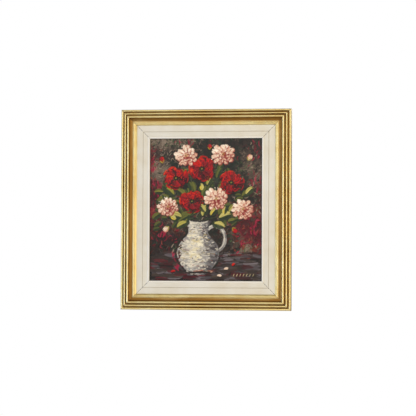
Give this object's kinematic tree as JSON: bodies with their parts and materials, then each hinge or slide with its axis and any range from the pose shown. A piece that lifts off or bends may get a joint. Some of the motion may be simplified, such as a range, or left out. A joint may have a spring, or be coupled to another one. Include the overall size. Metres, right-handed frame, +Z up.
{
  "type": "framed oil painting",
  "caption": "Painted canvas on a wooden stretcher in a cream liner and a wide gilt moulding with beads and a cove, with a toothed hanger on the back.",
  "frame": {"origin": "wall face of the hanger, in the middle of the back of the top rail", "axes": "+Z up the picture's height, +X to the viewer's right, +Y towards the wall, so the picture faces -Y"},
  "size_m": [0.59, 0.0446, 0.69],
  "materials": {
    "gilt_moulding": "metal leaf over a red-brown ground on wood, lightly rubbed",
    "cream_liner": "matt cream paint on wood",
    "painted_canvas": "oil paint laid thickly on woven canvas, raw cloth behind",
    "stretcher_pine": "planed bare pine",
    "hanger_brass": "stamped and plated sheet",
    "clip_steel": "zinc plated sheet"
  },
  "bodies": {
    "root": {"frame_rail_top": "gilt_moulding", "frame_rail_bottom": "gilt_moulding", "frame_rail_left": "gilt_moulding", "frame_rail_right": "gilt_moulding", "liner_rail_top": "cream_liner", "liner_rail_bottom": "cream_liner", "liner_rail_left": "cream_liner", "liner_rail_right": "cream_liner", "canvas": "painted_canvas", "stretcher_bar_top": "stretcher_pine", "stretcher_bar_bottom": "stretcher_pine", "stretcher_bar_left": "stretcher_pine", "stretcher_bar_right": "stretcher_pine", "hanger": "hanger_brass", "hanger_screw_left": "hanger_brass", "hanger_screw_right": "hanger_brass", "clip_top": "clip_steel", "clip_bottom": "clip_steel", "clip_left": "clip_steel", "clip_right": "clip_steel", "clip_screw_top": "clip_steel", "clip_screw_bottom": "clip_steel", "clip_screw_left": "clip_steel", "clip_screw_right": "clip_steel"}
  },
  "joints": []
}
